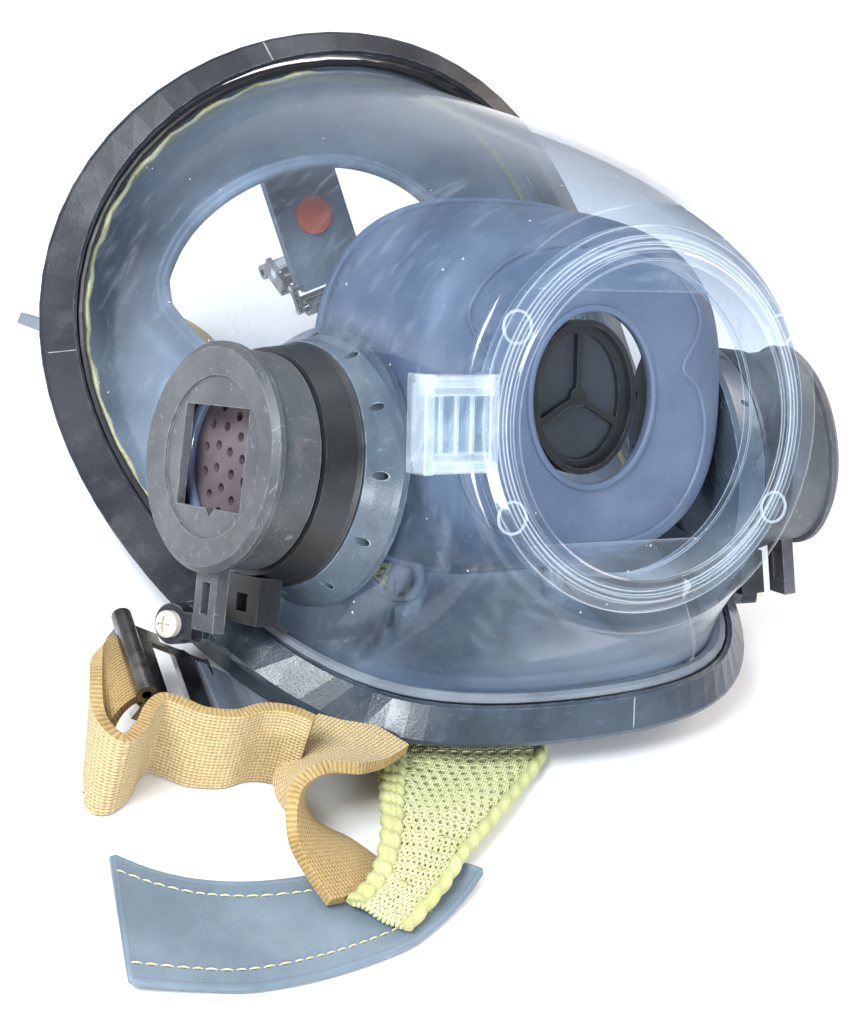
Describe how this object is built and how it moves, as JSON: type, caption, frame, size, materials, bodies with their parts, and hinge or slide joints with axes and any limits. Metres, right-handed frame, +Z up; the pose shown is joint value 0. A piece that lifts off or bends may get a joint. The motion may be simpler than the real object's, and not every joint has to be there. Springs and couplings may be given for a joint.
{
  "type": "full face respirator",
  "caption": "Full face respirator with clear visor, clamp frame, face seal, nose cup, voice housings, round bayonet port and a knitted strap harness, resting on its chin.",
  "frame": {"origin": "centre of the footprint, on the table the mask rests on", "axes": "+Z up; +X to the right for someone facing the visor; +Y from the visor towards the back of the mask"},
  "size_m": [0.2313, 0.2507, 0.1269],
  "materials": {
    "clear_visor": "clear moulded polycarbonate, scuffed and hazy",
    "frame": "satin glass-filled plastic",
    "screw": "cream coated cross-head screw",
    "nut": "plain",
    "gasket": "smooth grey rubber",
    "sealant": "hardened, dirty",
    "seal_rubber": "smooth blue-grey silicone",
    "nose_cup": "smooth matte silicone",
    "dark_plastic": "satin moulded plastic",
    "flap": "thin translucent silicone",
    "cover": "scuffed moulded plastic",
    "grille": "perforated, purple-brown",
    "o_ring": "smooth blue rubber",
    "diaphragm": "thin foil",
    "button": "orange-red",
    "wire": "polished wire",
    "buckle": "polished dark steel",
    "strap": "knitted elastic, fuzzy",
    "net": "knitted mesh",
    "band": "coated fabric with stitched edges"
  },
  "bodies": {
    "mask": {"visor": "clear_visor", "frame_upper": "frame", "frame_lower": "frame", "frame_screws": "screw", "frame_nuts": "nut", "visor_gasket": "gasket", "sealant_bead": "sealant", "face_seal": "seal_rubber", "nose_cup": "nose_cup", "nose_cup_collar": "dark_plastic", "mouth_valve_seat": "dark_plastic", "mouth_valve_flap": "flap", "inhale_seat_left": "dark_plastic", "inhale_seat_right": "dark_plastic", "inhale_flap_left": "flap", "inhale_flap_right": "flap", "voice_housing_left": "dark_plastic", "voice_housing_right": "dark_plastic", "voice_cover_left": "cover", "voice_cover_right": "cover", "voice_grille_left": "grille", "voice_grille_right": "grille", "voice_o_ring_left": "o_ring", "voice_o_ring_right": "o_ring", "voice_diaphragm_left": "diaphragm", "voice_diaphragm_right": "diaphragm", "bracket_left": "dark_plastic", "bracket_right": "dark_plastic", "tab_top": "seal_rubber", "tab_temple_left": "seal_rubber", "tab_temple_right": "seal_rubber", "tab_cheek_left": "seal_rubber", "tab_cheek_right": "seal_rubber", "tab_button": "button", "link_top": "wire", "link_temple_left": "wire", "link_temple_right": "wire", "link_cheek_left": "wire", "link_cheek_right": "wire", "strap_top": "strap", "strap_temple_left": "strap", "strap_temple_right": "strap", "strap_cheek_left": "strap", "strap_cheek_right": "strap", "head_net": "net", "stitched_band": "band"},
    "buckle_top_body": {"buckle_top": "buckle"},
    "roller_top_body": {"roller_top": "wire"},
    "buckle_temple_left_body": {"buckle_temple_left": "buckle"},
    "roller_temple_left_body": {"roller_temple_left": "wire"},
    "buckle_temple_right_body": {"buckle_temple_right": "buckle"},
    "roller_temple_right_body": {"roller_temple_right": "wire"},
    "buckle_cheek_left_body": {"buckle_cheek_left": "buckle"},
    "roller_cheek_left_body": {"roller_cheek_left": "wire"},
    "buckle_cheek_right_body": {"buckle_cheek_right": "buckle"},
    "roller_cheek_right_body": {"roller_cheek_right": "wire"}
  },
  "joints": [
    {"name": "buckle_top_swing", "type": "hinge", "parent": "mask", "child": "buckle_top_body", "pos_m": [0.013, 0.09389, 0.02479], "axis": [0.9336, 0.1792, 0.3104], "range_deg": [-68, 18]},
    {"name": "roller_top_turn", "type": "hinge", "parent": "buckle_top_body", "child": "roller_top_body", "pos_m": [0.00902, 0.10587, 0.02984], "axis": [0.9336, 0.1792, 0.3104], "continuous": true},
    {"name": "buckle_temple_left_swing", "type": "hinge", "parent": "mask", "child": "buckle_temple_left_body", "pos_m": [-0.0606, 0.0964, 0.009], "axis": [-0.7547, 0.6561, 0], "range_deg": [-68, 5]},
    {"name": "roller_temple_left_turn", "type": "hinge", "parent": "buckle_temple_left_body", "child": "roller_temple_left_body", "pos_m": [-0.05215, 0.10612, 0.00463], "axis": [-0.7547, 0.6561, 0], "continuous": true},
    {"name": "buckle_temple_right_swing", "type": "hinge", "parent": "mask", "child": "buckle_temple_right_body", "pos_m": [0.0674, 0.0964, 0.009], "axis": [-0.7547, -0.6561, 0], "range_deg": [-68, 5]},
    {"name": "roller_temple_right_turn", "type": "hinge", "parent": "buckle_temple_right_body", "child": "roller_temple_right_body", "pos_m": [0.05896, 0.10612, 0.00463], "axis": [-0.7547, -0.6561, 0], "continuous": true},
    {"name": "buckle_cheek_left_swing", "type": "hinge", "parent": "mask", "child": "buckle_cheek_left_body", "pos_m": [-0.0776, -0.0491, 0.0086], "axis": [-0.1045, -0.9945, 0], "range_deg": [-40, 36]},
    {"name": "roller_cheek_left_turn", "type": "hinge", "parent": "buckle_cheek_left_body", "child": "roller_cheek_left_body", "pos_m": [-0.09051, -0.04774, 0.01263], "axis": [-0.1045, -0.9945, 0], "continuous": true},
    {"name": "buckle_cheek_right_swing", "type": "hinge", "parent": "mask", "child": "buckle_cheek_right_body", "pos_m": [0.0974, 0.0334, 0.0065], "axis": [-0.9613, 0.2756, 0], "range_deg": [-30, 5]},
    {"name": "roller_cheek_right_turn", "type": "hinge", "parent": "buckle_cheek_right_body", "child": "roller_cheek_right_body", "pos_m": [0.10108, 0.04624, 0.00396], "axis": [-0.9613, 0.2756, 0], "continuous": true}
  ]
}
